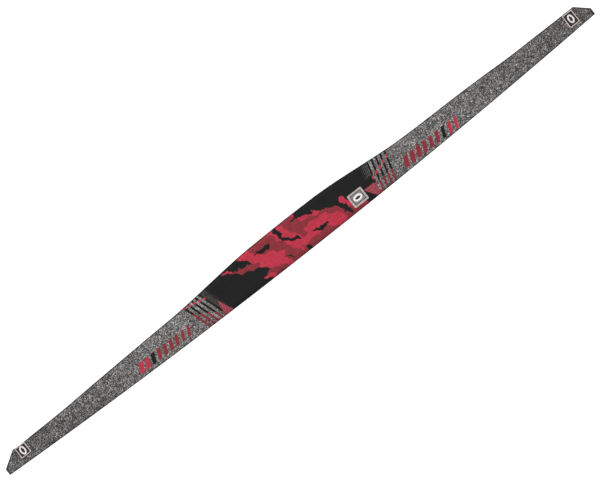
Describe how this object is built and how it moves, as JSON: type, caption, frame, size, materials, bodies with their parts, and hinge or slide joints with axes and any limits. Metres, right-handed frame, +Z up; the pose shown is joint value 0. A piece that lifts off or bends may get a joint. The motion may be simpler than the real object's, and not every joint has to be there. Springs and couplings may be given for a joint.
{
  "type": "tie headband",
  "caption": "Long flat sports headband with a padded front panel, tapered tails that tie at the nape, a small woven patch and a label at each tip.",
  "frame": {"origin": "middle of the band's length and width, on the surface it lies on", "axes": "+X along the band towards the tip whose side carries the front patch, +Y towards the crowned upper edge, +Z up out of the printed face"},
  "size_m": [1.2, 0.0644, 0.0045],
  "materials": {
    "printed_cloth": "printed knit",
    "heather_cloth": "heather knit",
    "back_cloth": "plain knit",
    "sweat_liner": "terry knit",
    "spacer_knit": "thick spacer knit",
    "silicone": "satin silicone",
    "thread": "sewing thread",
    "light_thread": "embroidery thread",
    "white_thread": "embroidery thread",
    "label_ground": "woven label",
    "patch_ground": "woven patch"
  },
  "bodies": {
    "forehead": {"face_cloth_forehead": "printed_cloth", "absorbent_pad_forehead": "spacer_knit", "sweat_liner_forehead": "sweat_liner", "grip_strip_lower": "silicone", "grip_strip_upper": "silicone", "seam_thread_forehead_lower": "thread", "seam_thread_forehead_upper": "thread"},
    "temple_left": {"face_cloth_temple_left": "printed_cloth", "absorbent_pad_temple_left": "spacer_knit", "sweat_liner_temple_left": "sweat_liner", "seam_thread_temple_left_lower": "thread", "seam_thread_temple_left_upper": "thread"},
    "nape_left": {"face_cloth_nape_left": "heather_cloth", "back_cloth_nape_left": "back_cloth", "seam_thread_nape_left_lower": "thread", "seam_thread_nape_left_upper": "thread"},
    "tail_left": {"face_cloth_tail_left": "heather_cloth", "back_cloth_tail_left": "back_cloth", "seam_thread_tail_left_lower": "thread", "seam_thread_tail_left_upper": "thread"},
    "tail_end_left": {"face_cloth_tail_end_left": "heather_cloth", "back_cloth_tail_end_left": "back_cloth", "seam_thread_tail_end_left_round": "thread", "tip_bartack_left": "thread", "label_ground_left": "label_ground", "label_frame_left": "light_thread", "label_mark_left": "white_thread"},
    "temple_right": {"face_cloth_temple_right": "printed_cloth", "absorbent_pad_temple_right": "spacer_knit", "sweat_liner_temple_right": "sweat_liner", "seam_thread_temple_right_lower": "thread", "seam_thread_temple_right_upper": "thread", "patch_ground": "patch_ground", "patch_border": "light_thread", "patch_mark": "white_thread"},
    "nape_right": {"face_cloth_nape_right": "heather_cloth", "back_cloth_nape_right": "back_cloth", "seam_thread_nape_right_lower": "thread", "seam_thread_nape_right_upper": "thread"},
    "tail_right": {"face_cloth_tail_right": "heather_cloth", "back_cloth_tail_right": "back_cloth", "seam_thread_tail_right_lower": "thread", "seam_thread_tail_right_upper": "thread"},
    "tail_end_right": {"face_cloth_tail_end_right": "heather_cloth", "back_cloth_tail_end_right": "back_cloth", "seam_thread_tail_end_right_round": "thread", "tip_bartack_right": "thread", "label_ground_right": "label_ground", "label_frame_right": "light_thread", "label_mark_right": "white_thread"}
  },
  "joints": [
    {"name": "forehead_bend_left", "type": "hinge", "parent": "forehead", "child": "temple_left", "pos_m": [-0.072, 0, 0.00165], "axis": [0, -1, 0], "range_deg": [-90, 90]},
    {"name": "temple_bend_left", "type": "hinge", "parent": "temple_left", "child": "nape_left", "pos_m": [-0.216, 0, 0.0009], "axis": [0, -1, 0], "range_deg": [-90, 90]},
    {"name": "knot_bend_left", "type": "hinge", "parent": "nape_left", "child": "tail_left", "pos_m": [-0.284, 0, 0.0009], "axis": [0, 1, 0], "range_deg": [-120, 120]},
    {"name": "tail_fold_left", "type": "hinge", "parent": "tail_left", "child": "tail_end_left", "pos_m": [-0.44, 0, 0.0009], "axis": [0, 1, 0], "range_deg": [-120, 120]},
    {"name": "forehead_bend_right", "type": "hinge", "parent": "forehead", "child": "temple_right", "pos_m": [0.072, 0, 0.00165], "axis": [0, 1, 0], "range_deg": [-90, 90]},
    {"name": "temple_bend_right", "type": "hinge", "parent": "temple_right", "child": "nape_right", "pos_m": [0.216, 0, 0.0009], "axis": [0, 1, 0], "range_deg": [-90, 90]},
    {"name": "knot_bend_right", "type": "hinge", "parent": "nape_right", "child": "tail_right", "pos_m": [0.284, 0, 0.0009], "axis": [0, -1, 0], "range_deg": [-120, 120]},
    {"name": "tail_fold_right", "type": "hinge", "parent": "tail_right", "child": "tail_end_right", "pos_m": [0.44, 0, 0.0009], "axis": [0, -1, 0], "range_deg": [-120, 120]}
  ]
}
